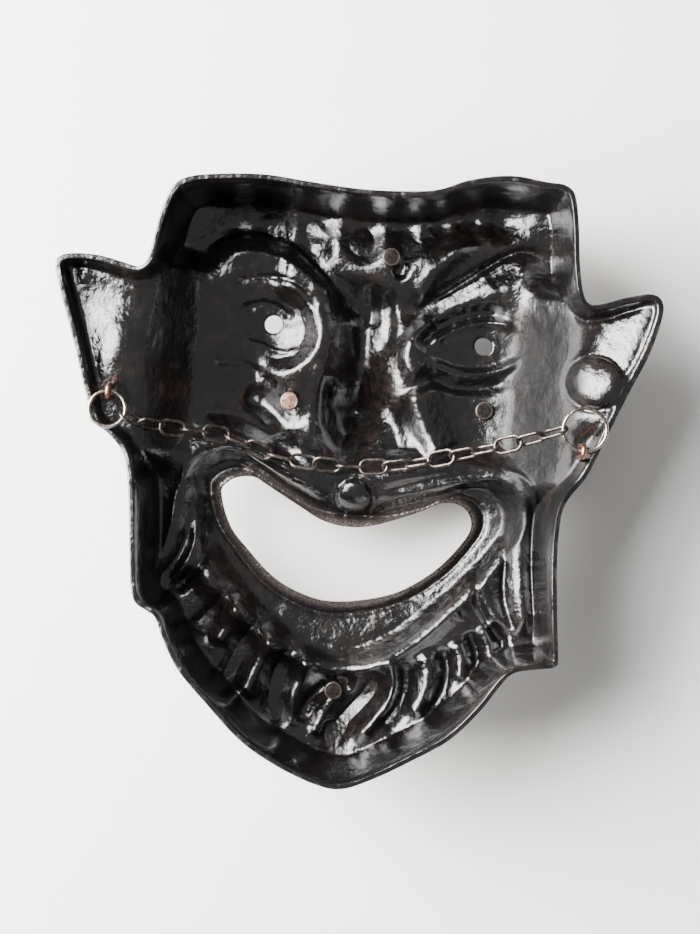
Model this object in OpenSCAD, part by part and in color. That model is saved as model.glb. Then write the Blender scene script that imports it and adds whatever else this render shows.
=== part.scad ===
/* [Mask body] */
// Height of the rim plane above the foremost point of the face
depth = 60; // [54:1:66]
// Thickness of the cast wall
wall = 3; // [2.5:0.1:3.2]
// Width of the flat rim that meets the wall behind the mask
rim_width = 2.6; // [2.2:0.1:3]
// Thickness of the casting at the edge of the mouth
lip_edge = 2.2; // [1.8:0.1:2.6]
// Usual spacing of the columns of the shell along the rim
column_pitch = 9; // [7:0.5:12]
// Rows of the shell between the foot of the wall and the outline of the lips
face_rows = 13; // [10:1:18]

/* [Face] */
// Level of the floor of the face below the rim plane
face_drop = 30; // [28:1:34]
// Level of the hollow of the lips below the rim plane
lip_drop = 39; // [37:1:42]
// Height that the edge of the mouth stands above the hollow of the lips
lip_rise = 2; // [0:0.5:3]
// Level of the rims of the ears below the rim plane
ear_setback = 3.5; // [3:0.1:4]
// Level of the floor inside the ears below the rim plane
ear_drop = 11; // [10:0.5:12]
// Diameter of the two eye holes
eye_hole_d = 6.4; // [5.5:0.1:7]

/* [Posts] */
// Diameter of the four posts
post_d = 6.2; // [5.5:0.1:6.8]
// Height that a post stands above the floor of the mask
post_height = 4.5; // [3:0.5:7]
// Depth that a post is set into the casting
post_root = 1.6; // [1:0.1:2]

/* [Hanging lugs and rings] */
// Diameter of the copper bar that a lug is bent from
lug_bar_d = 1.8; // [1.6:0.1:2]
// Radius of the bend of a lug, to the middle of its bar
lug_bend_r = 1.9; // [1.8:0.05:2.1]
// Depth that the legs of a lug are set into the ear
lug_root = 1.8; // [1.2:0.1:2.2]
// Play of a ring in the bend of its lug
lug_play = 0.2; // [0.1:0.05:0.3]
// Diameter of the wire of the two rings
ring_wire_d = 1.2; // [1:0.1:1.3]
// Outer diameter of the left ring
left_ring_d = 13; // [12.6:0.1:13.2]
// Outer diameter of the right ring
right_ring_d = 15.4; // [15:0.1:15.6]
// Gap between the cut ends of the right ring
ring_gap = 0.8; // [0.4:0.1:1.2]

/* [Chain] */
// Diameter of the wire of the links
link_wire_d = 1.1; // [1:0.05:1.1]
// Outer width of a link
link_width = 6; // [5.8:0.1:6.2]
// Play between two links that hang on each other
link_play = 0.16; // [0.14:0.01:0.2]

/* [Hidden] */
$fn = 48;
link_count = 20;

// Width of the slope from the outline of the lips up to the face, and of the slope up to the mouth
lip_step = 8;
mouth_slope = 5;

// Height of the outer edge of the rim
rim_edge = 2;

// Middle line between the two ears, and how far from it their floors and their rims begin
ear_middle = 2;
ear_floor_from = 57;
ear_rim_from = 69;

// Lowest and highest point of the ears along y
ear_bottom = -8;
ear_top = 74;

// How deep the middle of the face sags below its sides, its middle and its radii
bowl_depth = 4;
bowl_at = [0, 5];
bowl_radii = [55, 70];

// Share of the way in and of the way down for the rows of points on the side wall
wall_rows = [[0.12, 0.35], [0.3, 0.68], [0.62, 0.92]];

// Most that the wall is thickened downwards where the floor is steep
steepest = 1.7;

// Rim outline seen from the open back, clockwise from the tip of the left ear: x, y and how far
// inside it the foot of the wall lies
rim = [
    [-100, 60, 3.5], [-99, 63.5, 3.5], [-94, 65, 4], [-86, 65, 5], [-78, 63.5, 6], [-73, 62.5, 6],
    [-70, 64.5, 6], [-68.5, 70, 6], [-67, 79, 6], [-64, 88, 6], [-60, 92, 6], [-52, 94, 5.5],
    [-35, 95.5, 5], [-20, 94.5, 5], [-3, 93.5, 5], [12, 94, 5], [23, 95.5, 5], [33, 99.5, 5],
    [46, 102, 5], [58, 101, 5], [64, 100.5, 5], [67.5, 97.5, 5], [69.5, 88, 4.5], [71, 75, 4.5],
    [73, 66, 5], [75.5, 63, 5], [80, 63.5, 5], [87, 66, 4.5], [95, 68, 4], [99, 66.5, 3.5],
    [100, 61.5, 3.5], [97, 49, 4.5], [91, 34.5, 4.5], [85, 19.5, 4], [79.5, 6, 5], [74, -1.5, 5],
    [72, -8, 5.5], [72, -22, 5.5], [74, -42, 5], [75.5, -54, 4.5], [74.5, -56.5, 4.5], [69, -57.5, 5],
    [61, -59.5, 5], [57, -64, 5.5], [51, -73, 6], [42, -83, 6], [30, -91, 5.5], [18, -98, 5],
    [8, -102, 5], [-1, -101, 5.5], [-14, -96, 6], [-26, -89, 6], [-37, -79, 6], [-48, -68, 6],
    [-54, -58, 6], [-57, -51.5, 6], [-60, -49.5, 6], [-64, -47, 6], [-66, -41, 7], [-67.5, -28, 7],
    [-70, -8, 7], [-73, 1.5, 6], [-78, 7, 4], [-83, 10.5, 3.5], [-86, 18, 4], [-89, 27, 4.5],
    [-93, 39, 4.5], [-97, 50, 4.5]
];

// Point that the mouth opening and the outline of the lips are both seen from all round
mouth_centre = [2, -28];

// Edge of the mouth opening, clockwise from its left corner
mouth = [
    [-42, -10], [-40, -6], [-36.5, -4], [-31, -3.5], [-26, -6], [-14, -12.5], [-6, -16.5], [3, -18],
    [13, -16.5], [28, -10.5], [35, -7], [41, -7], [45, -10], [46, -15], [43, -21], [35, -30.5],
    [24, -38.5], [13, -42.5], [0, -44.5], [-10, -43], [-21, -38], [-31, -29], [-38, -21]
];

// Outer edge of the lips, where the face rises again, clockwise from the left corner
lips = [
    [-47.5, -8], [-45.5, -2], [-41, 1], [-36, 2], [-31, 1], [-24, -3], [-13, -9.5], [-3, -14],
    [6, -14.5], [17, -10.5], [31, -5.5], [40, -2], [48, -1], [54, -4.5], [56.5, -10], [54.5, -18],
    [43, -33], [33, -43], [23, -52], [12, -58.5], [3, -60], [-7, -58], [-17, -52], [-27, -43.5],
    [-36, -33.5], [-43, -23]
];

// Hollows and swellings of the inside: centre, radii along x and y, and height
swellings = [
    [[2, 21], [13, 13], -11.65],    // tip of the nose
    [[-31, 50], [17, 15], -8],      // left eye
    [[45, 49], [18, 14], -8],       // right eye
    [[-33, 24], [14, 13], -9],      // left cheek
    [[44, 22], [16, 13], -8],       // right cheek
    [[3, -76], [16, 14], -7],       // chin
    [[4.5, -7.5], [6, 6], 3],       // dimple above the lip
    [[-83, 35], [7, 12], 4.5],      // left ear
    [[81, 38], [9, 9], 4.5]         // right ear
];

// Long hollows and folds of the inside: points, half width and height
folds = [
    [[[3, 57], [3, 40], [2, 24]], 8.5, -12],                                          // bridge of the nose
    [[[-55, 74], [-44, 81], [-30, 81], [-18, 74], [-6, 63]], 7, -6],                  // left brow
    [[[66, 78], [58, 85], [48, 83], [34, 71], [20, 60]], 7, -6],                      // right brow
    [[[-44, 88], [-20, 90], [5, 88], [30, 92], [52, 94]], 6, -3],                     // hair
    [[[-54, 2], [-42, 8], [-28, 6], [-12, 1], [6, 0], [22, 2], [40, 5], [56, 4]], 6, 4.5],  // fold above the lip
    [[[-50, -6], [-55, -20], [-58, -36]], 6, 3],                                      // left moustache
    [[[60, -6], [62, -22], [66, -44]], 6, 3],                                         // right moustache
    [[[-46, -36], [-24, -56], [3, -67], [24, -58], [46, -34]], 5, 4]                  // fold under the lip
];

// Places of the posts, clockwise from the forehead
forehead_post_at = [10, 76];
left_cheek_post_at = [-21, 24];
right_cheek_post_at = [47, 26.5];
chin_post_at = [3, -75];

// Places of the eye holes
left_eye_at = [-29, 50.5];
right_eye_at = [45, 49];

// Rings: middle, and how steeply their plane rises along x and y where they lie on the rim
left_ring_at = [-78.8, 15, depth - 2.6];
left_ring_slope = [-0.06, -0.08];
right_ring_at = [77.6, 21.7, depth - 2.5];
right_ring_slope = [0.06, 0.08];

// Directions, seen from the open back, in which a ring meets its lug and its chain link
left_lug_angle = 90;
left_link_angle = -18;
right_lug_angle = -90;
right_link_angle = 185;

// Route of the chain between the rings: its ends hang in the rings, its middle lies on the fold above the lip
route_middle = [
    [-66, 11.4, 50.5], [-57, 10.6, 44.5], [-48, 10.6, 39.5], [-40, 9.8, 36], [-33, 7.4, 34.5], [-26, 4.8, 34],
    [-18, 3.6, 34], [-6, 3, 34], [6, 3.2, 34], [18, 4.8, 35.4], [30, 7.8, 39.5], [42, 11.4, 44.6],
    [54, 15, 50], [64, 18.6, 54.6]
];

// Turn of each link about its own length, from lying flat
link_rolls = [
    -62, 55, -8, -90, -5, -75, 30, -90, -30, -150,
    -90, -8, -128, -68, -8, -128, -68, -8, 52, -66
];

// ---- curves

function curve_point(a, b, c, d, t) =
    0.5 * (2 * b + (c - a) * t + (2 * a - 5 * b + 4 * c - d) * t * t + (3 * b - a - 3 * c + d) * t * t * t);

// Smooth closed curve through points, in steps no longer than the pitch
function closed_curve(pts, pitch) = [
    for (i = [0:len(pts) - 1])
        let (
            n = len(pts),
            b = pts[i],
            c = pts[(i + 1) % n],
            steps = max(1, round(norm([c.x - b.x, c.y - b.y]) / pitch))
        )
        for (k = [0:steps - 1]) curve_point(pts[(i + n - 1) % n], b, c, pts[(i + 2) % n], k / steps)
];

// Smooth open curve through points, with a fixed number of steps between them
function open_curve(pts, steps) = [
    for (i = [0:len(pts) - 2])
        let (a = pts[max(0, i - 1)], b = pts[i], c = pts[i + 1], d = pts[min(len(pts) - 1, i + 2)])
        for (k = [0:steps - 1]) curve_point(a, b, c, d, k / steps),
    pts[len(pts) - 1]
];

function unit(v) = v / norm(v);

// Polar form of a closed curve about the middle of the mouth, as sorted pairs of angle and radius
function polar_turn(p) = atan2(p.y - mouth_centre.y, p.x - mouth_centre.x);
function polar(pts) =
    let (raw = [for (p = pts) [polar_turn(p), norm([p.x, p.y] - mouth_centre)]])
    [for (turn = [360, 0, -360]) for (pair = raw) [pair[0] + turn, pair[1]]];
function radius_at(pairs, angle) = lookup(angle, pairs);
lip_pairs = polar(closed_curve(lips, 3));
mouth_pairs = polar(closed_curve(mouth, 3));

// ---- relief of the inside of the mask

function clamp(v) = max(0, min(1, v));
function smooth(v) = let (c = clamp(v)) c * c * (3 - 2 * c);

function segment_distance(p, a, b) =
    let (ab = b - a, t = clamp((p - a) * ab / (ab * ab)))
    norm(p - a - ab * t);
function path_distance(p, pts) = min([for (i = [0:len(pts) - 2]) segment_distance(p, pts[i], pts[i + 1])]);

function sum(values) = len(values) == 0 ? 0 : values * [for (v = values) 1];

function swelling_height(p) = sum([
    for (s = swellings) s[2] * exp(-pow(norm([(p.x - s[0].x) / s[1].x, (p.y - s[0].y) / s[1].y]), 2))
]);
function fold_height(p) = sum([for (f = folds) f[2] * exp(-pow(path_distance(p, f[0]) / f[1], 2))]);

// Share of the ear floor at a point: 0 in the face, 1 in an ear
function ear_share(p) =
    smooth((abs(p.x - ear_middle) - ear_floor_from) / 15)
    * smooth((p.y - ear_bottom) / 12)
    * smooth((ear_top - p.y) / 10);

// Level of the rim over a point of the plan: the rims of the ears lie back, clear of the wall
function rim_level(p) = depth - ear_setback * smooth((abs(p.x - ear_middle) - ear_rim_from) / 7);

face_floor = depth - face_drop;
ear_floor = depth - ear_drop;
lip_floor = depth - lip_drop;

// Level of the inside surface over a point of the plan
function level(p) =
    let (
        ears = ear_share(p),
        off = [(p.x - bowl_at.x) / bowl_radii.x, (p.y - bowl_at.y) / bowl_radii.y],
        face = face_floor - bowl_depth * exp(-pow(norm(off), 2)),
        ground = face + (ear_floor - face) * ears + swelling_height(p) + fold_height(p) * (1 - ears),
        past_lips = norm(p - mouth_centre) - radius_at(lip_pairs, polar_turn(p)),
        past_mouth = norm(p - mouth_centre) - radius_at(mouth_pairs, polar_turn(p)),
        lip = lip_floor + lip_rise * smooth(1 - past_mouth / mouth_slope)
    )
    lip + (ground - lip) * smooth(past_lips / lip_step);

// ---- modules

// One casting: every column of points runs from the rim down the wall, over the floor to the edge of
// the mouth, and back on the front side to the rim
module mask_shell() {
    columns = closed_curve(rim, column_pitch);
    count = len(columns);

    plan = [for (c = columns) [c.x, c.y]];
    inward = [
        for (i = [0:count - 1])
            let (ahead = plan[(i + 1) % count] - plan[(i + count - 1) % count])
            unit([ahead.y, -ahead.x])
    ];
    foot = [for (i = [0:count - 1]) plan[i] + inward[i] * columns[i].z];
    front_foot = [for (i = [0:count - 1]) plan[i] + inward[i] * (columns[i].z - rim_width)];
    rim_at = [for (p = plan) rim_level(p)];
    foot_level = [for (f = foot) level(f)];

    // Rows of the floor along the rays from the middle of the mouth: over the face to the outline of
    // the lips, then down into their hollow and on to the edge of the mouth
    function floor_point(start, row) =
        let (
            angle = polar_turn(start),
            r_start = norm(start - mouth_centre),
            r_mouth = radius_at(mouth_pairs, angle),
            r_lips = radius_at(lip_pairs, angle),
            r_slope = r_lips + lip_step,
            r_lip = [r_lips + lip_step * 0.5, r_lips, r_mouth + (r_lips - r_mouth) * 0.5, r_mouth],
            r = row <= face_rows ? r_start + (r_slope - r_start) * row / face_rows : r_lip[row - face_rows - 1]
        )
        mouth_centre + r * [cos(angle), sin(angle)];
    floor_rows = face_rows + 4;
    inside = [
        for (row = [1:floor_rows])
            [for (f = foot) let (p = floor_point(f, row)) [p.x, p.y, level(p)]]
    ];

    back_rings = concat(
        [[for (i = [0:count - 1]) [plan[i].x, plan[i].y, rim_at[i]]]],
        [[for (i = [0:count - 1]) let (p = plan[i] + inward[i] * rim_width) [p.x, p.y, rim_at[i]]]],
        [
            for (w = wall_rows)
                [
                    for (i = [0:count - 1])
                        let (p = plan[i] + inward[i] * (rim_width + (columns[i].z - rim_width) * w[0]))
                        [p.x, p.y, rim_at[i] + (foot_level[i] - rim_at[i]) * w[1]]
                ]
        ],
        [[for (i = [0:count - 1]) [foot[i].x, foot[i].y, foot_level[i]]]],
        inside
    );

    // The front side follows the inside, lower by the wall, and more where the floor is steep
    function steepness(j, i) =
        let (
            before = j == 0 ? [foot[i].x, foot[i].y, foot_level[i]] : inside[j - 1][i],
            after = inside[min(j + 1, floor_rows - 1)][i],
            run = max(1, norm([after.x - before.x, after.y - before.y])),
            left = inside[j][(i + count - 1) % count],
            right = inside[j][(i + 1) % count],
            across = max(1, norm([right.x - left.x, right.y - left.y]))
        )
        sqrt(1 + pow((after.z - before.z) / run, 2) + pow((right.z - left.z) / across, 2));
    front_floor = [
        for (j = [floor_rows - 1:-1:0])
            [
                for (i = [0:count - 1])
                    let (
                        back = inside[j][i],
                        share = max(0, 1 - (j + 1) / face_rows),
                        p = [back.x, back.y] - inward[i] * rim_width * share,
                        drop = j == floor_rows - 1 ? lip_edge : wall * min(steepest, steepness(j, i))
                    )
                    [p.x, p.y, back.z - drop]
            ]
    ];
    front_wall = [
        for (k = [len(wall_rows) - 1:-1:0])
            let (w = wall_rows[k])
            [
                for (i = [0:count - 1])
                    let (p = plan[i] + inward[i] * (columns[i].z - rim_width) * w[0])
                    [p.x, p.y, rim_at[i] + (foot_level[i] - wall - rim_at[i]) * w[1]]
            ]
    ];
    rings = concat(
        back_rings,
        front_floor,
        [[for (i = [0:count - 1]) [front_foot[i].x, front_foot[i].y, foot_level[i] - wall]]],
        front_wall,
        [[for (i = [0:count - 1]) [plan[i].x, plan[i].y, rim_at[i] - rim_edge]]]
    );
    ring_total = len(rings);
    points = [for (ring = rings) for (p = ring) p];
    faces = [
        for (r = [0:ring_total - 1])
            for (i = [0:count - 1])
                let (
                    a = r * count + i,
                    b = r * count + (i + 1) % count,
                    c = ((r + 1) % ring_total) * count + (i + 1) % count,
                    d = ((r + 1) % ring_total) * count + i
                )
                for (face = [[a, b, c], [a, c, d]]) face
    ];
    color("#1c1a1a")
        difference() {
            polyhedron(points, faces);
            for (at = [left_eye_at, right_eye_at])
                translate([at.x, at.y, -1]) cylinder(d = eye_hole_d, h = depth);
        }
}

// Round post that stands on the floor of the mask
module post(at, colour) {
    floor_level = level(at);
    color(colour)
        translate([at.x, at.y, floor_level - post_root]) cylinder(d = post_d, h = post_root + post_height);
}
module forehead_post() post(forehead_post_at, "#3a2f2a");
module left_cheek_post() post(left_cheek_post_at, "#b87a5c");
module right_cheek_post() post(right_cheek_post_at, "#3a2f2a");
module chin_post() post(chin_post_at, "#3a2f2a");

// Point of a tilted ring in a given direction
function ring_point(at, slope, r, angle) =
    let (
        tilt = atan(norm(slope)),
        heading = atan2(slope.y, slope.x),
        uphill = r * cos(angle - heading),
        across = r * sin(angle - heading)
    )
    at + [
        cos(heading) * uphill * cos(tilt) - sin(heading) * across,
        sin(heading) * uphill * cos(tilt) + cos(heading) * across,
        uphill * sin(tilt)
    ];

left_ring_r = (left_ring_d - ring_wire_d) / 2;
right_ring_r = (right_ring_d - ring_wire_d) / 2;
left_hold = ring_point(left_ring_at, left_ring_slope, left_ring_r, left_lug_angle);
right_hold = ring_point(right_ring_at, right_ring_slope, right_ring_r, right_lug_angle);

// Staple: two legs set into the ear and a bend over the wire of the ring
module lug(hold) {
    bend_level = hold.z + lug_play;
    leg_foot = ear_floor - lug_root;
    color("#b0714f")
        translate([hold.x, hold.y, 0]) {
            for (side = [-1, 1])
                translate([0, side * lug_bend_r, leg_foot])
                    cylinder(d = lug_bar_d, h = bend_level - leg_foot, $fn = 32);
            translate([0, 0, bend_level])
                rotate([90, 0, 90])
                    rotate_extrude(angle = 180, $fn = 64)
                        translate([lug_bend_r, 0]) circle(d = lug_bar_d, $fn = 32);
        }
}
module left_lug() lug(left_hold);
module right_lug() lug(right_hold);

// Wire ring that lies tilted on the rim, open by a gap in one direction
module wire_ring(at, slope, r, gap, gap_angle) {
    tilt = atan(norm(slope));
    heading = atan2(slope.y, slope.x);
    open = gap / r * 180 / PI;
    color("#b9b4a6")
        translate(at)
            rotate([0, 0, heading])
                rotate([0, -tilt, 0])
                    rotate([0, 0, gap_angle - heading + open / 2])
                        rotate_extrude(angle = 360 - open, $fn = 96)
                            translate([r, 0]) circle(d = ring_wire_d, $fn = 32);
}
module left_ring() wire_ring(left_ring_at, left_ring_slope, left_ring_r, 0, 0);
module right_ring() wire_ring(right_ring_at, right_ring_slope, right_ring_r, ring_gap, 140);

// ---- chain

// Wire of each ring where the chain hangs in it, and the point where the wires touch
left_pull = ring_point(left_ring_at, left_ring_slope, left_ring_r, left_link_angle);
right_pull = ring_point(right_ring_at, right_ring_slope, right_ring_r, right_link_angle);
touch = ring_wire_d / 2 + link_play / 4;
chain_start = left_pull - touch * unit(route_middle[0] - left_pull);
chain_end = right_pull + touch * unit(right_pull - route_middle[len(route_middle) - 1]);
route = open_curve(concat([chain_start], route_middle, [chain_end]), 12);
reach = [for (i = 0, s = 0; i < len(route); s = s + norm(route[min(i + 1, len(route) - 1)] - route[i]), i = i + 1) s];
route_length = reach[len(reach) - 1];
link_pitch = route_length / link_count;

// Outer length of a link, to a hundredth of a millimetre so that its bars and bends meet exactly
link_length = round((link_pitch + 2 * link_wire_d + link_play) * 100) / 100;

function route_point(s) =
    let (i = max([for (k = [0:len(reach) - 2]) reach[k] <= s ? k : 0]))
    route[i] + (route[i + 1] - route[i]) * (s - reach[i]) / (reach[i + 1] - reach[i]);
contacts = [for (k = [0:link_count]) route_point(min(route_length, k * link_pitch))];

// Oval link of round wire, lying flat along x about the origin
module flat_link(length) {
    bend_r = (link_width - link_wire_d) / 2;
    straight = length - link_width;
    for (end = [-1, 1])
        translate([end * straight / 2, 0, 0])
            rotate([0, 0, end * 90 - 180])
                rotate_extrude(angle = 180)
                    translate([bend_r, 0]) circle(d = link_wire_d, $fn = 24);
    for (side = [-1, 1])
        translate([-straight / 2, side * bend_r, 0])
            rotate([0, 90, 0]) cylinder(d = link_wire_d, h = straight, $fn = 24);
}

// Link between two neighbouring contact points, turned about its own length
module link(number) {
    from = contacts[number - 1];
    to = contacts[number];
    along = to - from;
    heading = atan2(along.y, along.x);
    climb = atan2(along.z, norm([along.x, along.y]));
    color("#6b6259")
        translate((from + to) / 2)
            rotate([0, -climb, heading])
                rotate([link_rolls[number - 1], 0, 0])
                    flat_link(link_length);
}

mask_shell();
forehead_post();
left_cheek_post();
right_cheek_post();
chin_post();
left_lug();
right_lug();
left_ring();
right_ring();
link(1);  // link_01
link(2);  // link_02
link(3);  // link_03
link(4);  // link_04
link(5);  // link_05
link(6);  // link_06
link(7);  // link_07
link(8);  // link_08
link(9);  // link_09
link(10);  // link_10
link(11);  // link_11
link(12);  // link_12
link(13);  // link_13
link(14);  // link_14
link(15);  // link_15
link(16);  // link_16
link(17);  // link_17
link(18);  // link_18
link(19);  // link_19
link(20);  // link_20
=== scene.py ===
import math

import bpy
import numpy as np
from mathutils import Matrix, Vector
from mathutils.geometry import delaunay_2d_cdt


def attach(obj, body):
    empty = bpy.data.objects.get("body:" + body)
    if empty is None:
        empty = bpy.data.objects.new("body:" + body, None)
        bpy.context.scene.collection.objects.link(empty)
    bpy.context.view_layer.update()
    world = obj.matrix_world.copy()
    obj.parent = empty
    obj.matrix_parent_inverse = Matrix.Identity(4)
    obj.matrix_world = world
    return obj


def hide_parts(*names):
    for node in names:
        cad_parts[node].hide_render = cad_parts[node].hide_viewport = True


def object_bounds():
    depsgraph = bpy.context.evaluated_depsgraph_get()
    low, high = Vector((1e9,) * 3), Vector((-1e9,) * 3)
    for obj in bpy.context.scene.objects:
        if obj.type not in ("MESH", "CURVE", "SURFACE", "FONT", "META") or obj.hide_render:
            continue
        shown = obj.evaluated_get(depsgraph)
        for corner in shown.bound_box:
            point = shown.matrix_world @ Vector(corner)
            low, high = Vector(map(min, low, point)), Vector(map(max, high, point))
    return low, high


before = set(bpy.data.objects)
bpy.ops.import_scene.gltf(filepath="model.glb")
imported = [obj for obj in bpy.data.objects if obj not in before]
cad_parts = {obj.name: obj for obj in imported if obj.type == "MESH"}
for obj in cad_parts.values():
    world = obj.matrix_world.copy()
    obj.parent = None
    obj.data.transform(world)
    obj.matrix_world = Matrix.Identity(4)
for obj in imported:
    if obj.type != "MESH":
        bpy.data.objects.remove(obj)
cad_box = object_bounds()

MM = 0.001

# ---------------------------------------------------------------- camera, floor and lights

CAMERA_AT = (2.05 * MM, 2.9 * MM, 0.56)
CAMERA_TURN = math.radians(5)
CAMERA_LENS = 59.2


def make_camera():
    data = bpy.data.cameras.new("camera")
    data.lens = CAMERA_LENS
    data.sensor_width = 36
    data.sensor_fit = "AUTO"
    data.clip_start = 0.01
    camera = bpy.data.objects.new("camera", data)
    camera.location = CAMERA_AT
    camera.rotation_euler = (0, 0, CAMERA_TURN)
    bpy.context.scene.collection.objects.link(camera)
    bpy.context.scene.camera = camera


def make_light(name, at, aim, size, watts, colour):
    data = bpy.data.lights.new(name, "AREA")
    data.shape = "RECTANGLE"
    data.size, data.size_y = size
    data.energy = watts
    data.color = colour
    light = bpy.data.objects.new(name, data)
    light.location = at
    light.rotation_euler = (Vector(aim) - Vector(at)).to_track_quat("-Z", "Y").to_euler()
    bpy.context.scene.collection.objects.link(light)


def make_world():
    world = bpy.data.worlds.new("studio")
    world.use_nodes = True
    background = world.node_tree.nodes["Background"]
    background.inputs["Color"].default_value = (1.0, 0.99, 0.975, 1)
    background.inputs["Strength"].default_value = 0.4
    bpy.context.scene.world = world


# ---------------------------------------------------------------- shader helpers


class Shader:
    """A material's node tree, built one node at a time."""

    def __init__(self, name):
        self.material = bpy.data.materials.new(name)
        self.material.use_nodes = True
        self.tree = self.material.node_tree
        self.surface = self.tree.nodes["Principled BSDF"]
        self.place = self.node("ShaderNodeTexCoord").outputs["Object"]

    def node(self, kind, **values):
        made = self.tree.nodes.new(kind)
        for key, value in values.items():
            setattr(made, key, value)
        return made

    def link(self, source, target):
        self.tree.links.new(source, target)

    def set(self, **values):
        for key, value in values.items():
            self.surface.inputs[key.replace("_", " ")].default_value = value

    def noise(self, size_mm, detail=3.0, roughness=0.55, stretch=(1, 1, 1)):
        mapping = self.node("ShaderNodeMapping")
        mapping.inputs["Scale"].default_value = [1 / (size_mm * MM * s) for s in stretch]
        self.link(self.place, mapping.inputs["Vector"])
        noise = self.node("ShaderNodeTexNoise")
        noise.inputs["Scale"].default_value = 1.0
        noise.inputs["Detail"].default_value = detail
        noise.inputs["Roughness"].default_value = roughness
        self.link(mapping.outputs["Vector"], noise.inputs["Vector"])
        return noise.outputs["Fac"]

    def remap(self, value, low, high, to_low=0.0, to_high=1.0):
        made = self.node("ShaderNodeMapRange")
        made.interpolation_type = "SMOOTHSTEP"
        made.inputs["From Min"].default_value = low
        made.inputs["From Max"].default_value = high
        made.inputs["To Min"].default_value = to_low
        made.inputs["To Max"].default_value = to_high
        self.link(value, made.inputs["Value"])
        return made.outputs["Result"]

    def math(self, operation, a, b):
        made = self.node("ShaderNodeMath", operation=operation)
        for socket, value in zip(made.inputs, (a, b)):
            if isinstance(value, (int, float)):
                socket.default_value = value
            else:
                self.link(value, socket)
        return made.outputs["Value"]

    def mix(self, share, a, b):
        made = self.node("ShaderNodeMix", data_type="RGBA")
        self.link(share, made.inputs["Factor"])
        for socket, value in ((made.inputs["A"], a), (made.inputs["B"], b)):
            if isinstance(value, tuple):
                socket.default_value = (*value, 1)
            else:
                self.link(value, socket)
        return made.outputs["Result"]

    def attribute(self, name):
        return self.node("ShaderNodeAttribute", attribute_name=name).outputs["Fac"]

    def bump(self, height, distance_mm, strength=1.0, normal=None):
        made = self.node("ShaderNodeBump")
        made.inputs["Strength"].default_value = strength
        made.inputs["Distance"].default_value = distance_mm * MM
        self.link(height, made.inputs["Height"])
        if normal is not None:
            self.link(normal, made.inputs["Normal"])
        return made.outputs["Normal"]

    def finish(self, colour=None, roughness=None, normal=None, metallic=None):
        for name, value in (
            ("Base Color", colour),
            ("Roughness", roughness),
            ("Normal", normal),
            ("Metallic", metallic),
        ):
            if value is not None:
                self.link(value, self.surface.inputs[name])
        return self.material


# ---------------------------------------------------------------- materials


def black_lacquer():
    shader = Shader("black_lacquer")
    shader.set(IOR=1.55, Coat_Weight=0.35, Coat_Roughness=0.07, Specular_IOR_Level=0.6)
    patches = shader.noise(24, 4, 0.6)
    mottle = shader.noise(3.4, 4, 0.65)
    grain = shader.noise(0.6, 3, 0.6)
    brown = shader.math("MULTIPLY", shader.remap(patches, 0.42, 0.62), shader.remap(mottle, 0.35, 0.65))
    colour = shader.mix(brown, (0.0022, 0.002, 0.0023), (0.009, 0.0058, 0.0052))
    worn = shader.math("MULTIPLY", shader.attribute("wear"), shader.remap(mottle, 0.46, 0.72))
    colour = shader.mix(worn, colour, (0.10, 0.092, 0.085))
    raw = shader.math("MULTIPLY", shader.attribute("raw"), shader.remap(grain, 0.35, 0.62, 0.25, 1.0))
    colour = shader.mix(raw, colour, (0.085, 0.07, 0.063))
    roughness = shader.remap(mottle, 0.25, 0.75, 0.13, 0.23)
    roughness = shader.math("ADD", roughness, shader.math("MULTIPLY", raw, 0.16))
    dull = shader.attribute("dull")
    roughness = shader.math("ADD", roughness, shader.math("MULTIPLY", dull, 0.34))
    metallic = shader.math("ADD", shader.math("MULTIPLY", worn, 0.5), shader.math("MULTIPLY", raw, 0.4))
    normal = shader.bump(shader.noise(12, 2, 0.5), 2.4, 0.4)
    normal = shader.bump(shader.noise(5, 2, 0.5), 1.3, 0.55, normal)
    shader.link(shader.remap(dull, 0, 1, 0.6, 0.16), shader.surface.inputs["Specular IOR Level"])
    shader.link(shader.remap(dull, 0, 1, 0.35, 0.08), shader.surface.inputs["Coat Weight"])
    lumps = shader.math("MULTIPLY", shader.noise(1.6, 3, 0.6), shader.remap(dull, 0, 1, 1.0, 0.7))
    normal = shader.bump(lumps, 0.45, 0.6, normal)
    normal = shader.bump(grain, 0.1, 0.55, normal)
    return shader.finish(colour, roughness, normal, metallic)


def bare_metal(name, bright, dark, rough, metallic=1.0, grain_mm=0.5, blotch_mm=2.2):
    shader = Shader(name)
    shader.set(Metallic=metallic)
    blotch = shader.noise(blotch_mm, 4, 0.65)
    fine = shader.noise(grain_mm, 3, 0.6)
    colour = shader.mix(shader.remap(blotch, 0.36, 0.66), dark, bright)
    roughness = shader.remap(fine, 0.25, 0.75, rough - 0.08, rough + 0.12)
    normal = shader.bump(blotch, 0.12, 0.5)
    normal = shader.bump(fine, 0.05, 0.6, normal)
    return shader.finish(colour, roughness, normal)


def turned_post(name, bright, dark, edge, rough):
    shader = Shader(name)
    shader.set(Metallic=0.7)
    blotch = shader.noise(1.8, 4, 0.65)
    scratches = shader.noise(0.9, 4, 0.7, (6, 0.5, 1))
    scuffs = shader.remap(scratches, 0.3, 0.55, 0.35, 1.0)
    tone = shader.math("MULTIPLY", shader.remap(blotch, 0.3, 0.62), scuffs)
    colour = shader.mix(tone, dark, bright)
    worn = shader.math("MULTIPLY", shader.attribute("wear"), shader.remap(blotch, 0.34, 0.5, 0.3, 1.0))
    colour = shader.mix(worn, colour, edge)
    roughness = shader.remap(scratches, 0.25, 0.75, rough - 0.08, rough + 0.14)
    normal = shader.bump(scratches, 0.06, 0.6)
    normal = shader.bump(blotch, 0.12, 0.5, normal)
    return shader.finish(colour, roughness, normal)


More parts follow.
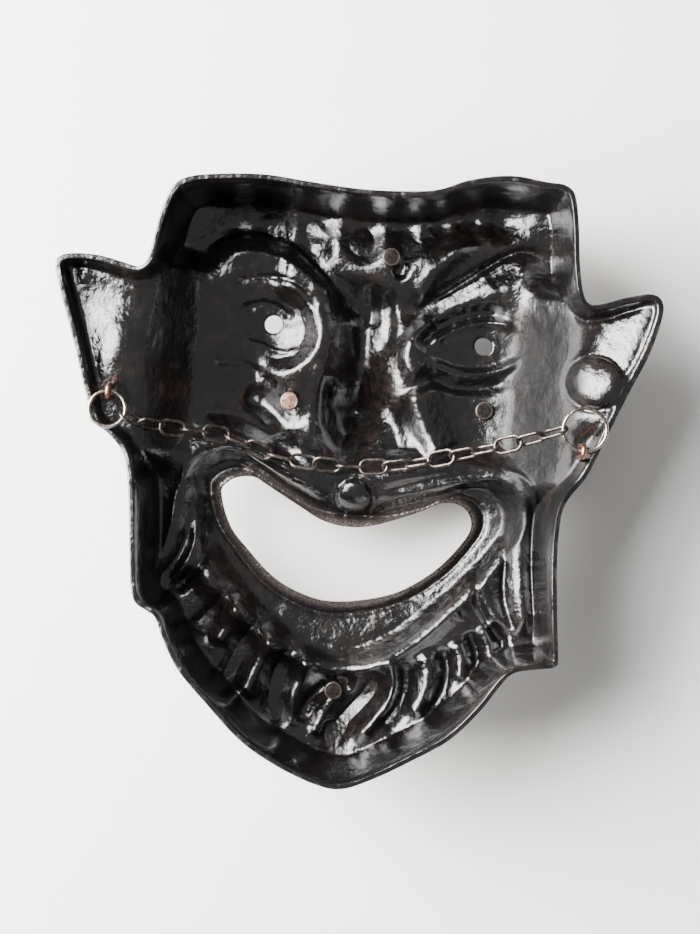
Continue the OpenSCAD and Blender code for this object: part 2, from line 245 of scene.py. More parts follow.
def floor_paper():
    shader = Shader("floor_paper")
    shader.set(Specular_IOR_Level=0.25)
    tone = shader.noise(260, 2, 0.5)
    colour = shader.mix(tone, (0.84, 0.83, 0.81), (0.88, 0.875, 0.865))
    return shader.finish(colour, shader.remap(tone, 0, 1, 0.5, 0.6))


# ---------------------------------------------------------------- mesh helpers


def make_piece(name, points_mm, faces, material, body, replaces):
    mesh = bpy.data.meshes.new(name)
    mesh.from_pydata((np.asarray(points_mm) * MM).tolist(), [], faces)
    mesh.validate()
    mesh.shade_smooth()
    mesh.materials.append(material)
    piece = bpy.data.objects.new(name, mesh)
    bpy.context.scene.collection.objects.link(piece)
    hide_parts(replaces)
    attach(piece, body)
    return piece


def add_attribute(piece, name, values):
    layer = piece.data.attributes.new(name, "FLOAT", "POINT")
    layer.data.foreach_set("value", np.asarray(values).astype(np.float32))


def band(first, second):
    """Quads between two closed loops of point numbers, of equal length."""
    after_first = first[1:] + first[:1]
    after_second = second[1:] + second[:1]
    return [list(quad) for quad in zip(first, after_first, after_second, second)]


# ---------------------------------------------------------------- outlines of the casting, in mm

DEPTH = 60.0
WALL = 3.0
RIM_WIDTH = 1.5
WALL_WIDTH = 2.6
RIM_EDGE = 2.0
LIP_EDGE = 2.2
FACE_FLOOR = 30.0
LIP_FLOOR = 21.0
LIP_RISE = 2.0
MOUTH_SLOPE = 5.0
EAR_FLOOR = 49.0
LIP_STEP = 8.0
EAR_MIDDLE = 2.0
LEFT_EAR_STEP = (55, 18)     # distance from the middle, width
RIGHT_EAR_STEP = (52, 22)
EAR_RIM_DROP = 3.5

# Rim outline seen from the open back, clockwise from the tip of the left ear: x, y and how far
# inside it the foot of the wall lies
RIM = [
    (-100, 60, 3.5), (-99, 63.5, 3.5), (-94, 65, 4), (-86, 65, 5), (-78, 63.5, 6), (-73, 62.5, 6),
    (-70, 64.5, 6), (-68.5, 70, 6), (-67, 79, 6), (-64, 88, 6), (-60, 92, 6), (-52, 94, 5.5),
    (-35, 95.5, 5), (-20, 94.5, 5), (-3, 93.5, 5), (12, 94, 5), (23, 95.5, 5), (33, 99.5, 5),
    (46, 102, 5), (58, 101, 5), (64, 100.5, 5), (67.5, 97.5, 5), (69.5, 88, 4.5), (71, 75, 4.5),
    (73, 66, 5), (75.5, 63, 5), (80, 63.5, 5), (87, 66, 4.5), (95, 68, 4), (99, 66.5, 3.5),
    (100, 61.5, 3.5), (97, 49, 4.5), (91, 34.5, 4.5), (85, 19.5, 4), (79.5, 6, 5), (74, -1.5, 5),
    (72, -8, 5.5), (72, -22, 5.5), (74, -42, 5), (75.5, -54, 4.5), (74.5, -56.5, 4.5), (69, -57.5, 5),
    (61, -59.5, 5), (57, -64, 5.5), (51, -73, 6), (42, -83, 6), (30, -91, 5.5), (18, -98, 5),
    (8, -102, 5), (-1, -101, 5.5), (-14, -96, 6), (-26, -89, 6), (-37, -79, 6), (-48, -68, 6),
    (-54, -58, 6), (-57, -51.5, 6), (-60, -49.5, 6), (-64, -47, 6), (-66, -41, 7), (-67.5, -28, 7),
    (-70, -8, 7), (-73, 1.5, 6), (-78, 7, 4), (-83, 10.5, 3.5), (-86, 18, 4), (-89, 27, 4.5),
    (-93, 39, 4.5), (-97, 50, 4.5),
]

MOUTH_CENTRE = np.array((2.0, -28.0))

# Edge of the mouth opening, clockwise from its left corner
MOUTH = [
    (-42, -10), (-40, -6), (-36.5, -4), (-31, -3.5), (-26, -6), (-14, -12.5), (-6, -16.5), (3, -18),
    (13, -16.5), (28, -10.5), (35, -7), (41, -7), (45, -10), (46, -15), (43, -21), (35, -30.5),
    (24, -38.5), (13, -42.5), (0, -44.5), (-10, -43), (-21, -38), (-31, -29), (-38, -21),
]

# Outer edge of the lips, where the face rises again, clockwise from the left corner
LIPS = [
    (-47.5, -8), (-45.5, -2), (-41, 1), (-36, 2), (-31, 1), (-24, -3), (-13, -9.5), (-3, -14),
    (6, -14.5), (17, -10.5), (31, -5.5), (40, -2), (48, -1), (54, -4.5), (56.5, -10), (54.5, -18),
    (43, -33), (33, -43), (23, -52), (12, -58.5), (3, -60), (-7, -58), (-17, -52), (-27, -43.5),
    (-36, -33.5), (-43, -23),
]

EYE_HOLES = [(-29.0, 50.5), (45.0, 49.0)]
EYE_HOLE_RADIUS = 3.2


def closed_curve(points, pitch):
    """Smooth closed curve through points of any dimension, in steps no longer than the pitch."""
    points = [np.asarray(p, float) for p in points]
    total = len(points)
    curve = []
    for i in range(total):
        a, b, c, d = (points[(i + k) % total] for k in (-1, 0, 1, 2))
        steps = max(1, round(float(np.linalg.norm((c - b)[:2])) / pitch))
        for k in range(steps):
            t = k / steps
            square, cube = t * t, t * t * t
            curve.append(
                0.5 * (2 * b + (c - a) * t + (2 * a - 5 * b + 4 * c - d) * square
                       + (3 * b - a - 3 * c + d) * cube)
            )
    return np.array(curve)


def open_curve(points, steps):
    """Smooth open curve through points, with a fixed number of steps between them."""
    points = [np.asarray(p, float) for p in points]
    last = len(points) - 1
    curve = []
    for i in range(last):
        a, b, c, d = (points[min(max(i + k, 0), last)] for k in (-1, 0, 1, 2))
        for k in range(steps):
            t = k / steps
            square, cube = t * t, t * t * t
            curve.append(
                0.5 * (2 * b + (c - a) * t + (2 * a - 5 * b + 4 * c - d) * square
                       + (3 * b - a - 3 * c + d) * cube)
            )
    curve.append(points[last])
    return np.array(curve)


# ---------------------------------------------------------------- relief of the inside, in mm

# Hollows and swellings: centre, radii along x and y, height
SWELLINGS = [
    ((2, 21), (13, 13), -11.65),    # tip of the nose
    ((-31, 50), (17, 15), -8),      # left eye
    ((45, 49), (18, 14), -8),       # right eye
    ((-33, 24), (14, 13), -9),      # left cheek
    ((44, 22), (18, 15), -5),       # right cheek
    ((3, -76), (16, 14), -7),       # chin
    ((-77, 36), (9, 13), 5),        # left ear
]

# Long hollows and folds: points, half width, height
FOLDS = [
    ([(3, 57), (3, 40), (2, 24)], 8.5, -12),                                    # bridge of the nose
    ([(-55, 74), (-44, 81), (-30, 81), (-18, 74), (-6, 63)], 7, -6),            # left brow
    ([(66, 78), (58, 85), (48, 83), (34, 71), (20, 60)], 7, -6),                # right brow
    ([(-44, 88), (-20, 90), (5, 88), (30, 92), (52, 94)], 6, -3),               # hair
    ([(-54, 2), (-42, 8), (-28, 6), (-12, 1), (6, 0), (22, 2), (40, 5), (56, 4)], 6, 4.5),
    ([(-50, -6), (-55, -20), (-58, -36)], 6, 3),                                # left moustache
    ([(60, -6), (62, -22), (66, -44)], 6, 3),                                   # right moustache
    ([(-46, -36), (-24, -56), (3, -67), (24, -58), (46, -34)], 5, 4),           # fold under the lip
]


def smooth(value):
    share = np.clip(value, 0.0, 1.0)
    return share * share * (3 - 2 * share)


def curve_distance(points, curve):
    """Distance to a polyline, the signed side (left of it is positive) and the share along it."""
    best = np.full(len(points), 1e9)
    side = np.zeros(len(points))
    along = np.zeros(len(points))
    lengths = np.linalg.norm(np.diff(curve, axis=0), axis=1)
    reach = np.concatenate(([0], np.cumsum(lengths)))
    for i in range(len(curve) - 1):
        step = curve[i + 1] - curve[i]
        offset = points - curve[i]
        t = np.clip(offset @ step / (step @ step), 0, 1)
        away = offset - t[:, None] * step
        distance = np.hypot(away[:, 0], away[:, 1])
        near = distance < best
        best[near] = distance[near]
        side[near] = np.sign(step[0] * offset[near, 1] - step[1] * offset[near, 0])
        along[near] = (reach[i] + t[near] * lengths[i]) / reach[-1]
    return best, side, along


def gauss(value):
    return np.exp(-value * value)


def polar_radius(outline, angles):
    """Radius of a closed outline round the middle of the mouth in the given directions."""
    offset = closed_curve(outline, 1.0) - MOUTH_CENTRE
    turn = np.arctan2(offset[:, 1], offset[:, 0])
    order = np.argsort(turn)
    return np.interp(angles, turn[order], np.hypot(offset[order, 0], offset[order, 1]), period=2 * math.pi)


def ear_share(p):
    """How far each point belongs to the shallow floor of an ear, from 0 to 1."""
    left = smooth((EAR_MIDDLE - p[:, 0] - LEFT_EAR_STEP[0]) / LEFT_EAR_STEP[1])
    right = smooth((p[:, 0] - EAR_MIDDLE - RIGHT_EAR_STEP[0]) / RIGHT_EAR_STEP[1])
    return (left + right) * smooth((p[:, 1] + 8) / 12) * smooth((74 - p[:, 1]) / 10)


def rim_level(p):
    return DEPTH - EAR_RIM_DROP * smooth((np.abs(p[:, 0] - EAR_MIDDLE) - 69) / 7)


def large_forms(p):
    ears = ear_share(p)
    face = FACE_FLOOR - 4 * gauss(np.hypot(p[:, 0] / 55, (p[:, 1] - 5) / 70))
    ground = face + (EAR_FLOOR - face) * ears
    for (cx, cy), (rx, ry), height in SWELLINGS:
        ground = ground + height * gauss(np.hypot((p[:, 0] - cx) / rx, (p[:, 1] - cy) / ry))
    for points, width, height in FOLDS:
        distance, _, _ = curve_distance(p, open_curve(points, 4))
        ground = ground + height * gauss(distance / width) * (1 - ears)
    return ground


def past_outline(p, outline):
    """How far outside an outline round the mouth each point lies, along its ray from the middle."""
    offset = p - MOUTH_CENTRE
    angles = np.arctan2(offset[:, 1], offset[:, 0])
    return np.hypot(offset[:, 0], offset[:, 1]) - polar_radius(outline, angles)


def level(p, fine=True):
    ground = large_forms(p)
    past_lips = past_outline(p, LIPS)
    past_mouth = past_outline(p, MOUTH)
    lip = LIP_FLOOR + LIP_RISE * smooth(1 - past_mouth / MOUTH_SLOPE)
    if fine:
        ground = ground + relief(p, FACE_DETAIL)
        lip = lip - 1.1 * gauss((past_mouth - 4.4) / 1.3) + 1.2 * smooth((past_mouth - 4) / 9)
    slope = past_lips / LIP_STEP
    share = 0.5 * smooth(slope) + 0.5 * np.clip(slope, 0, 1)
    result = lip + (ground - lip) * share
    if fine:
        for centre, radii, height in DOMES:
            result = result + dome(p, centre, radii, height)
        for centre, radii, height in PITS:
            away = np.hypot((p[:, 0] - centre[0]) / radii[0], (p[:, 1] - centre[1]) / radii[1])
            result = result + height * np.exp(-away ** 3)
    return result


LEFT_BROW = [
    (-2, 60), (-6.5, 64), (-12.5, 69.5), (-18, 74.5), (-23.5, 78.5), (-30, 81.3), (-37, 82), (-44, 81),
    (-51, 78), (-56, 74),
]

# Fine relief: kind, half width, height, points
#   "roll"  rounded fold (or hollow, if its height is negative)
#   "cut"   sharp ridge or crease
#   "edge"  step up on the left-hand side of the line, fading away from it
FACE_DETAIL = [
    # left eye
    ("edge", 3.8, 4.6, [(-32, 62), (-24, 61), (-18, 57), (-14.8, 50),
                        (-15.5, 43.5), (-19.5, 38.5), (-27, 35.5), (-35, 37)]),
    ("roll", 1.6, -1.3, [(-41, 54), (-34, 57.5), (-27, 56.5), (-22, 52)]),
    ("cut", 0.7, 1.1, [(-42, 56.5), (-34, 59), (-27, 57.7), (-23.2, 54)]),
    ("cut", 0.7, 1.0, [(-40, 44), (-33, 43), (-28, 41.2), (-22.5, 41), (-19, 43.5)]),
    ("cut", 1.0, -1.8, [(-46, 62.5), (-35.5, 66), (-26, 66), (-18.5, 62.5), (-13, 55)]),
    ("roll", 2.2, -1.6, [(-50, 36), (-41.5, 36.4), (-36, 34.6), (-30, 31.5), (-25, 28)]),
    ("edge", 2.4, 2.6, LEFT_BROW),
    ("cut", 1.0, -1.8, LEFT_BROW),
    ("roll", 2.6, 1.5, [(-50, 70), (-40, 74), (-28, 73), (-17, 67), (-8, 58)]),
    # left cheek
    ("roll", 5.0, -2.6, [(-38, 26), (-30, 23), (-24, 17), (-21, 10)]),
    ("roll", 2.2, -1.6, [(-52, 17), (-45, 18), (-37.5, 16), (-29.5, 12), (-20, 5.5), (-12, 3)]),
    ("edge", 3.0, 2.5, [(-13, 40), (-12.5, 30), (-13, 20), (-16, 10), (-19, 4)]),
    # nose
    ("roll", 3.6, -4.5, [(-5.5, 34), (-6, 24), (-3, 16), (3, 12)]),
    ("roll", 3.6, -3.0, [(13.5, 28), (16, 20), (18, 13), (19, 8)]),
    ("roll", 2.6, -2.4, [(9, 66), (11, 58), (11.5, 50), (9.5, 42)]),
    ("roll", 2.2, -1.8, [(3.5, 68), (5.5, 60), (5, 52)]),
    ("cut", 0.9, 1.4, [(-3, 56), (-1, 48), (1, 40)]),
    # crest between nose and right eye, and the wall down to the wing of the nose
    ("edge", 3.0, 3.6, [(27, 58.5), (21, 54), (17.3, 48), (16.8, 42), (19, 37), (23.5, 33)]),
    ("edge", 3.4, 4.6, [(18, 31), (20.5, 26), (24, 19), (28, 12), (31, 7)]),
    # right eye
    ("roll", 2.8, -3.6, [(22, 45), (26.5, 51.5), (33.5, 57), (43, 60.5), (53, 61)]),
    ("roll", 1.4, 1.7, [(23.5, 45.5), (29.5, 51), (36, 54.8), (43, 57), (50, 57.2), (57.5, 55)]),
    ("roll", 1.7, 2.2, [(25, 42.5), (33, 39.8), (40, 38.8), (47, 39.6), (54, 42.5), (58.5, 46.5)]),
    ("roll", 2.2, -2.6, [(25, 37), (33, 34.5), (40, 33.8), (48, 34.8), (56, 38)]),
    # right brow
    ("edge", 2.6, 3.0, [(18, 58), (25, 63.5), (31.5, 68.5), (38, 73.5), (44.5, 78.5),
                        (50, 82), (55, 84), (60.5, 83.5), (65, 80)]),
    ("cut", 0.8, -1.9, [(19, 58), (26, 63.5), (32.5, 68.2), (39, 73), (45.5, 78),
                        (51, 81.5), (55.5, 83), (60, 82.5), (64, 79.5)]),
    ("cut", 0.6, 0.9, [(26, 61.5), (33, 66.2), (40, 71), (46.5, 75.8), (52, 79.5)]),
    ("roll", 3.4, 2.0, [(20, 62), (24.5, 71), (31, 79), (40, 86.5)]),
    ("roll", 4.0, -1.6, [(44, 71), (50, 75), (56, 74)]),
    ("roll", 2.6, -1.5, [(13, 73), (17, 79), (24, 86)]),
    # ears
    ("edge", 1.6, 1.8, [(-70, 57), (-76, 57.5), (-85.5, 60.5), (-95, 61.5)]),
    ("edge", 3.0, -3.0, [(72, 57.5), (79.5, 59.5), (88, 62.5), (95, 66)]),
    ("edge", 8.0, 6.5, [(97, 74), (91, 62), (87, 50), (83, 38), (79.5, 27), (77, 19)]),
    # folds above the lips
    ("cut", 0.8, 1.0, [(-49, 1), (-45, 5.2), (-40, 7), (-33, 6.5), (-24, 2.5), (-13, -3.2), (-4, -6)]),
    ("roll", 1.6, -1.2, [(13, -5), (22, -1.5), (33, 2), (43, 3.8), (52, 3)]),
    ("cut", 0.7, 0.9, [(12, -9), (21, -5.8), (31, -1.8), (40, 1.2), (48, 2)]),
    # moustache, left
    ("roll", 2.6, -3.2, [(-52.5, -8), (-52, -24), (-55, -34), (-60, -43)]),
    ("roll", 2.4, -3.2, [(-44, -22), (-45.5, -32), (-50, -39.5), (-57, -46)]),
    ("cut", 0.9, 1.3, [(-50, 1.5), (-54.5, -4.5), (-57, -12.5), (-57.5, -21.5), (-61, -37), (-65, -46)]),
    ("cut", 0.9, 1.2, [(-49.5, -14), (-49, -26), (-52, -36), (-58.5, -43.5)]),
    # moustache, right
    ("cut", 0.7, 1.6, [(53, 7), (58, 6), (62.5, 3.5), (66, -2), (68.5, -13.5), (71, -34), (75, -50)]),
    ("roll", 4.2, 2.6, [(57, 1), (60.5, -4), (62.8, -14), (63.8, -26), (64.8, -38), (69, -50)]),
    ("roll", 3.2, 1.8, [(54, -16), (53, -30), (54, -40), (60, -49)]),
    ("roll", 1.3, -1.8, [(57.5, -10), (58, -24), (59, -38), (64, -50)]),
    ("roll", 1.5, -1.6, [(50.5, -20), (48.8, -32), (50.5, -41), (57, -50)]),
    ("roll", 2.4, 2.0, [(60, -53), (66, -54.5), (72, -54)]),
    # ridge round the lips
    ("roll", 3.4, 1.8, [(8, -68), (18, -62.5), (28, -53), (38, -42.5), (47, -32.5), (54, -23), (60, -14)]),
    # beard
    ("roll", 3.6, -3.6, [(-34, -40), (-37.5, -46), (-42, -53), (-48, -60)]),
    ("roll", 3.6, -4.4, [(-22, -49), (-25.5, -56), (-30, -64), (-33.5, -73), (-36, -80)]),
    ("roll", 3.8, -4.6, [(-9.5, -56), (-13.5, -64), (-16.5, -73), (-16.5, -82), (-13, -90)]),
    ("roll", 3.0, -3.2, [(1.5, -72), (-2.5, -76.5), (-6.5, -81), (-8, -88)]),
    ("roll", 3.4, -4.2, [(18, -67), (15.5, -75), (10.5, -82), (5, -89), (3.5, -95)]),
    ("roll", 3.8, -3.4, [(4.5, -86), (4.2, -92), (5, -99)]),
    ("roll", 3.6, 3.2, [(-15, -51), (-20, -60), (-24.5, -70), (-28.5, -81)]),
    ("roll", 3.2, 3.0, [(-6, -60), (-7.5, -70), (-10, -79), (-10, -89)]),
    ("roll", 2.4, 2.4, [(7, -69), (3.5, -77), (0, -84), (-2, -92)]),
    ("roll", 2.2, 2.8, [(20, -60), (23.5, -68), (22.5, -77), (17, -85), (11, -92)]),
    ("roll", 3.0, -3.4, [(26.5, -62), (28, -70), (26, -79), (20, -88)]),
    ("roll", 3.6, 2.8, [(33, -57), (35.5, -65), (34, -74), (29.5, -82)]),
    ("roll", 2.6, -3.0, [(39, -56), (41.5, -64), (40.5, -72), (36, -80)]),
    ("roll", 3.2, 2.2, [(43.5, -53), (46.5, -60), (46, -68)]),
    ("roll", 2.4, -3.0, [(47.5, -50), (51, -57), (51.5, -65)]),
    ("roll", 2.6, 2.2, [(51.5, -48), (55, -53.5), (56, -60)]),
    ("roll", 2.0, -2.4, [(55, -47), (59, -52), (61, -57)]),
    ("roll", 3.0, 2.6, [(-29, -43), (-34, -52), (-39, -63)]),
]


# Round swellings: centre, radii, height
DOMES = [
    ((4.4, -7.5), (6.3, 6.3), 4.2),
    ((80.5, 38), (8.5, 8.8), 5.4),
]

# Curls of hair along the forehead, the right eyeball and the hollows by two posts: centre, radii, height
PITS = [
    ((-47, 86), (6.5, 6), -1.8),
    ((-31, 84.5), (6.2, 7), -3.2),
    ((-16.5, 82.5), (7, 8), -4.0),
    ((-0.5, 81.5), (7, 8), -4.0),
    ((14.5, 83.5), (5.5, 7), -3.2),
    ((26, 86), (5, 7), -3.2),
    ((36, 89.5), (5.2, 7), -3.6),
    ((46.5, 92), (5.2, 6.5), -3.2),
    ((41, 48.5), (12, 6), 2.2),
    ((13.5, 72), (2.6, 2.6), -2.6),
    ((6.5, -72), (3, 2.8), -3.0),
]


def relief(p, entries):
    total = np.zeros(len(p))
    for kind, width, height, points in entries:
        curve = open_curve(points, 3)
        reach = 9 * width if kind == "edge" else 5 * width
        near = np.all((p > curve.min(0) - reach) & (p < curve.max(0) + reach), axis=1)
        if not near.any():
            continue
        distance, side, along = curve_distance(p[near], curve)
        if kind == "cut":
            shape = np.exp(-distance / width)
        elif kind == "roll":
            shape = gauss(distance / width)
        else:
            across = side * distance
            shape = smooth(across / (2 * width) + 0.5) * gauss(np.maximum(across, 0) / (3 * width))
        total[near] += height * shape * smooth(np.minimum(along, 1 - along) / 0.16)
    return total


def dome(p, centre, radii, height):
    """Round swelling with a crisp foot, set off by a crease."""
    away = np.hypot((p[:, 0] - centre[0]) / radii[0], (p[:, 1] - centre[1]) / radii[1])
    return height * np.sqrt(np.clip(1 - away * away, 0, 1)) - 0.12 * height * gauss((away - 1.08) / 0.14)


# ---------------------------------------------------------------- the casting

COLUMN_PITCH = 1.0
FLOOR_PITCH = 0.75
FRONT_PITCH = 1.5

# How far in and how far down the side wall lies, from the rim to its foot
WALL_PROFILE = [(0, 0), (0.04, 0.012), (0.1, 0.035), (0.17, 0.075), (0.23, 0.14), (0.29, 0.25), (0.35, 0.4),
                (0.42, 0.56), (0.5, 0.71), (0.6, 0.83), (0.72, 0.92), (0.86, 0.975), (1, 1)]


def inside_outline(p, outline):
    """Which points lie inside a closed outline."""
    inside = np.zeros(len(p), bool)
    for a, b in zip(outline, np.roll(outline, -1, axis=0)):
        crosses = (a[1] > p[:, 1]) != (b[1] > p[:, 1])
        if crosses.any() and b[1] != a[1]:
            x = a[0] + (p[:, 1] - a[1]) * (b[0] - a[0]) / (b[1] - a[1])
            inside ^= crosses & (p[:, 0] < x)
    return inside


def nearest(p, loops):
    """Distance from each point to the nearest point of the loops, in blocks."""
    targets = np.vstack(loops)
    result = np.empty(len(p))
    for start in range(0, len(p), 2000):
        part = p[start:start + 2000]
        gap = part[:, None, :] - targets[None, :, :]
        result[start:start + 2000] = np.sqrt((gap * gap).sum(2).min(1))
    return result


def fill(outer, holes, pitch):
    """Triangles that fill an outline around its holes: plan points, the loops' numbers first."""
    low = outer.min(0)
    high = outer.max(0)
    rows = np.arange(low[1], high[1], pitch * 0.866)
    columns = np.arange(low[0], high[0], pitch)
    grid = np.array([(x + (k % 2) * pitch / 2, y) for k, y in enumerate(rows) for x in columns])
    keep = inside_outline(grid, outer)
    for hole in holes:
        keep &= ~inside_outline(grid, hole)
    grid = grid[keep]
    grid = grid[nearest(grid, [outer, *holes]) > pitch * 0.6]
    points = np.vstack([outer, *holes, grid])
    edges = []
    start = 0
    for loop in (outer, *holes):
        count = len(loop)
        edges += [(start + k, start + (k + 1) % count) for k in range(count)]
        start += count
    found = delaunay_2d_cdt([Vector(v) for v in points.tolist()], edges, [], 0, 1e-6)
    triangles, origins = found[2], found[3]
    number = [source[0] for source in origins]
    corners = np.array([[number[v] for v in triangle] for triangle in triangles])
    middle = points[corners].mean(1)
    keep = inside_outline(middle, outer)
    for hole in holes:
        keep &= ~inside_outline(middle, hole)
    return points, corners[keep]


def circle(centre, radius, count):
    turns = np.arange(count) * 2 * math.pi / count
    return np.column_stack([centre[0] + radius * np.cos(turns), centre[1] + radius * np.sin(turns)])


def relax(loop, turns):
    """Evens out a closed loop of points."""
    for _ in range(turns):
        loop = (np.roll(loop, 1, 0) + 2 * loop + np.roll(loop, -1, 0)) / 4
    return loop


def untangle(loop, plan):
    """Pulls a loop straight where it turns back on the outline that it follows, as in a tight corner."""
    run = np.roll(plan, -1, 0) - np.roll(plan, 1, 0)
    for _ in range(60):
        own = np.roll(loop, -1, 0) - np.roll(loop, 1, 0)
        tight = (run * own).sum(1) < 0.25 * (run * run).sum(1)
        for _ in range(4):
            tight = tight | np.roll(tight, 1) | np.roll(tight, -1)
        middle = (np.roll(loop, 1, 0) + np.roll(loop, -1, 0)) / 2
        loop = np.where(tight[:, None], middle, loop)
    return loop


def build_shell():
    stations = np.array(RIM, float)
    plan = stations[:, :2]
    ahead = np.roll(plan, -1, 0) - np.roll(plan, 1, 0)
    inward = np.column_stack([ahead[:, 1], -ahead[:, 0]])
    inward /= np.linalg.norm(inward, axis=1)[:, None]
    foot = plan + inward * stations[:, 2:3]
    inner = plan + inward * RIM_WIDTH
    front = plan + inward * (stations[:, 2:3] - WALL_WIDTH)
    columns = closed_curve(np.hstack([plan, inner, foot, front]), COLUMN_PITCH)
    plan, inner, foot, front = (columns[:, k:k + 2] for k in (0, 2, 4, 6))
    inner, foot, front = (untangle(relax(loop, 6), plan) for loop in (inner, foot, front))
    count = len(plan)
    mouth = closed_curve(MOUTH, FLOOR_PITCH)
    eyes = [circle(at, EYE_HOLE_RADIUS, 40) for at in EYE_HOLES]

    points = []
    faces = []

    def add(plan_points, levels):
        start = len(points)
        points.extend(np.column_stack([plan_points, levels]).tolist())
        return list(range(start, start + len(plan_points)))

    rim_z = rim_level(plan)
    foot_z = level(foot)

    # back side: floor, then the side wall up to the rim
    back_plan, back_corners = fill(foot, [mouth, *eyes], FLOOR_PITCH)
    back_z = level(back_plan)
    back = add(back_plan, back_z)
    foot_ring = back[:count]
    rings = [foot_ring]
    for share_in, share_down in reversed(WALL_PROFILE[:-1]):
        at = inner + (foot - inner) * share_in
        rings.append(add(at, rim_z + (foot_z - rim_z) * share_down))

    # rim and the outside of the side wall
    for share, drop in ((0.06, 0.0), (0.5, 0.0), (0.9, 0.0), (0.97, 0.12), (1.0, 0.45), (1.0, RIM_EDGE)):
        rings.append(add(inner + (plan - inner) * share, rim_z - drop))
    front_foot_z = level(foot, False) - WALL
    for share_in, share_down in WALL_PROFILE[2:-1]:
        at = plan + (front - plan) * share_in
        rings.append(add(at, rim_z - RIM_EDGE + (front_foot_z - rim_z + RIM_EDGE) * share_down))

    # front side
    front_plan, front_corners = fill(front, [mouth, *eyes], FRONT_PITCH)
    slope = np.hypot(
        level(front_plan + (0.5, 0), False) - level(front_plan - (0.5, 0), False),
        level(front_plan + (0, 0.5), False) - level(front_plan - (0, 0.5), False),
    )
    under = level(front_plan, False) - WALL * np.minimum(1.7, np.sqrt(1 + slope * slope))
    under[:count] = front_foot_z
    mouth_count = len(mouth)
    mouth_slice = slice(count, count + mouth_count)
    mouth_z = back_z[mouth_slice]
    under[mouth_slice] = mouth_z - LIP_EDGE
    front_side = add(front_plan, under)
    rings.append(front_side[:count])
    for lower, upper in zip(rings, rings[1:]):
        faces += band(lower, upper)
    faces += [[back[v] for v in corner] for corner in back_corners]
    faces += [[front_side[v] for v in reversed(corner)] for corner in front_corners]

    # edge of the mouth and the walls of the eye holes
    start = count
    for loop in (mouth, *eyes):
        size = len(loop)
        top = back[start:start + size]
        bottom = front_side[start:start + size]
        faces += band(top, bottom)
        start += size
    return np.array(points), faces


POST_SIDES = 64


def make_post(name, material):
    """A post turned on its own axis, with a rounded, slightly upset edge."""
    corners = np.array([v.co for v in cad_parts[name].data.vertices]) / MM
    low, high = corners.min(0), corners.max(0)
    centre = (low + high) / 2
    radius = (high[0] - low[0]) / 2
    profile = [
        (0, 0), (1.2, 0.04), (2.2, 0.0), (radius - 0.62, -0.06), (radius - 0.5, 0.0), (radius - 0.36, -0.02),
        (radius - 0.16, -0.1), (radius - 0.04, -0.26), (radius, -0.5), (radius, low[2] - high[2]),
    ]
    turns = np.arange(POST_SIDES) * 2 * math.pi / POST_SIDES
    points = []
    for away, drop in profile:
        wobble = 1 + 0.012 * np.sin(3 * turns + away) + 0.008 * np.sin(7 * turns)
        reach = np.minimum(away * wobble, radius)
        ring = np.column_stack([centre[0] + reach * np.cos(turns), centre[1] + reach * np.sin(turns)])
        points.append(np.column_stack([ring, np.full(POST_SIDES, high[2] + drop)]))
    faces = []
    for k in range(len(points) - 1):
        lower = list(range(POST_SIDES * (k + 1), POST_SIDES * (k + 2)))
        upper = list(range(POST_SIDES * k, POST_SIDES * (k + 1)))
        faces += band(lower, upper)
    last = POST_SIDES * (len(points) - 1)
    faces.append(list(range(last + POST_SIDES - 1, last - 1, -1)))
    piece = make_piece(name + "_worn", np.vstack(points), faces, material, "mask", name)
    edge = [math.exp(-(((a - radius + 0.25) / 0.28) ** 2)) for a, _ in profile]
    edge[-1] = 0.0
    add_attribute(piece, "wear", np.repeat(edge, POST_SIDES))


# Box of the dull patch on the right temple: left, right, bottom, top
DULL_TEMPLE = (46, 80, -30, 68)


def shell_wear(points):
    """Where the lacquer is worn off the edges, was never put on, and is dull on the right temple."""
    p = points[:, :2]
    outline = closed_curve([station[:2] for station in RIM], 1.0)
    on_rim = smooth((points[:, 2] - (rim_level(p) - 1.0)) / 0.8)
    wear = smooth(1 - (nearest(p, [outline]) - 0.1) / 0.7) * on_rim
    mouth_gap = nearest(p, [closed_curve(MOUTH, 1.0)])
    raw = smooth(1 - mouth_gap / 4.4) * smooth((26 - points[:, 2]) / 2)
    left, right, bottom, top = DULL_TEMPLE
    across = smooth((p[:, 0] - left) / 14) * smooth((right - p[:, 0]) / 7)
    dull = across * smooth((top - p[:, 1]) / 12) * smooth((p[:, 1] - bottom) / 26)
    return wear, raw, dull


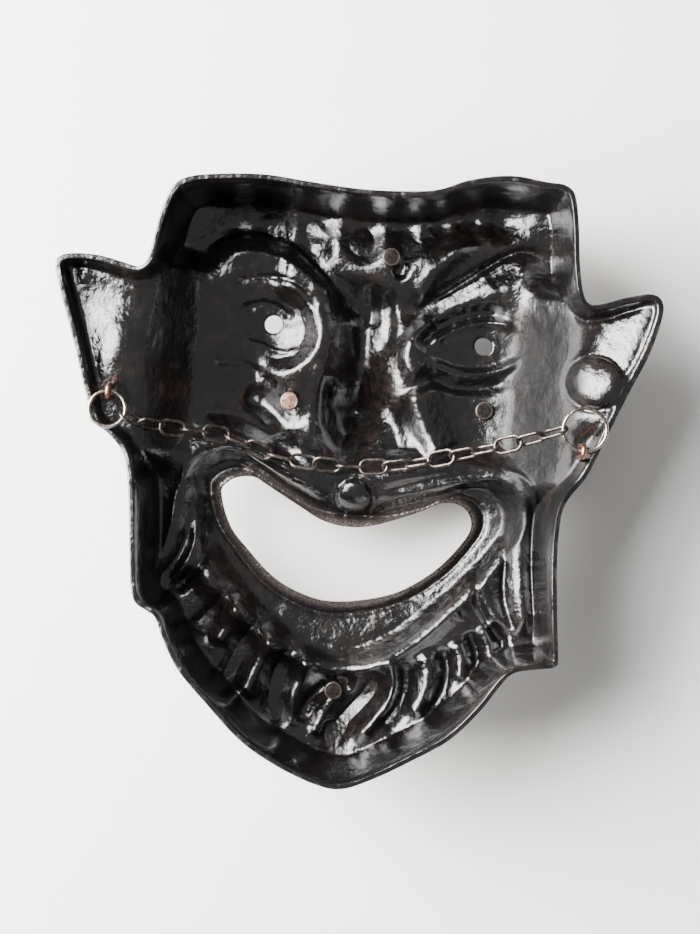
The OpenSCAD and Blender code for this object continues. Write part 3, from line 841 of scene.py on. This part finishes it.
def make_shell(material):
    points, faces = build_shell()
    shell = make_piece("mask_casting", points, faces, material, "mask", "mask_shell")
    for name, values in zip(("wear", "raw", "dull"), shell_wear(points)):
        add_attribute(shell, name, values)


# ---------------------------------------------------------------- everything

make_camera()
make_world()
make_light("window", (-0.8, 0.16, 0.50), (0.0, 0.0, 0.03), (1.0, 0.75), 94, (1.0, 0.985, 0.965))
make_light("skylight", (-0.5, 0.24, 0.85), (0.0, 0.0, 0.03), (0.45, 0.35), 13, (0.97, 0.985, 1.0))

lacquer = black_lacquer()
copper = bare_metal("copper", (0.50, 0.27, 0.19), (0.20, 0.095, 0.065), 0.32)
dark_post = turned_post("dark_post", (0.03, 0.024, 0.021), (0.009, 0.0075, 0.007), (0.10, 0.082, 0.072), 0.34)
bright_post = turned_post("bright_post", (0.62, 0.36, 0.27), (0.10, 0.055, 0.042), (0.30, 0.2, 0.16), 0.3)
ring_steel = bare_metal("ring_wire", (0.50, 0.46, 0.40), (0.20, 0.17, 0.14), 0.24)
chain_steel = bare_metal("chain_wire", (0.17, 0.14, 0.125), (0.055, 0.044, 0.04), 0.3, 0.9)

NODE_MATERIALS = {
    "left_lug": copper,
    "right_lug": copper,
    "left_ring": ring_steel,
    "right_ring": ring_steel,
}
SLOTS = {
    "forehead_post": "dark_post",
    "left_cheek_post": "copper",
    "right_cheek_post": "dark_post",
    "chin_post": "dark_post",
}
for name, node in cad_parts.items():
    if name == "mask_shell" or name in SLOTS:
        continue
    node.data.materials.clear()
    node.data.materials.append(NODE_MATERIALS.get(name, chain_steel))

for name, slot in SLOTS.items():
    make_post(name, bright_post if slot == "copper" else dark_post)
make_shell(lacquer)

FLOOR_REACH = 30.0
FLOOR_GAP = 0.2 * MM
floor_corners = [(x * FLOOR_REACH, y * FLOOR_REACH, 0) for x, y in ((-1, -1), (1, -1), (1, 1), (-1, 1))]
floor_mesh = bpy.data.meshes.new("floor")
floor_mesh.from_pydata(floor_corners, [], [(0, 1, 2, 3)])
floor_mesh.materials.append(floor_paper())
floor = bpy.data.objects.new("floor", floor_mesh)
floor.location.z = cad_box[0][2] - FLOOR_GAP
bpy.context.scene.collection.objects.link(floor)
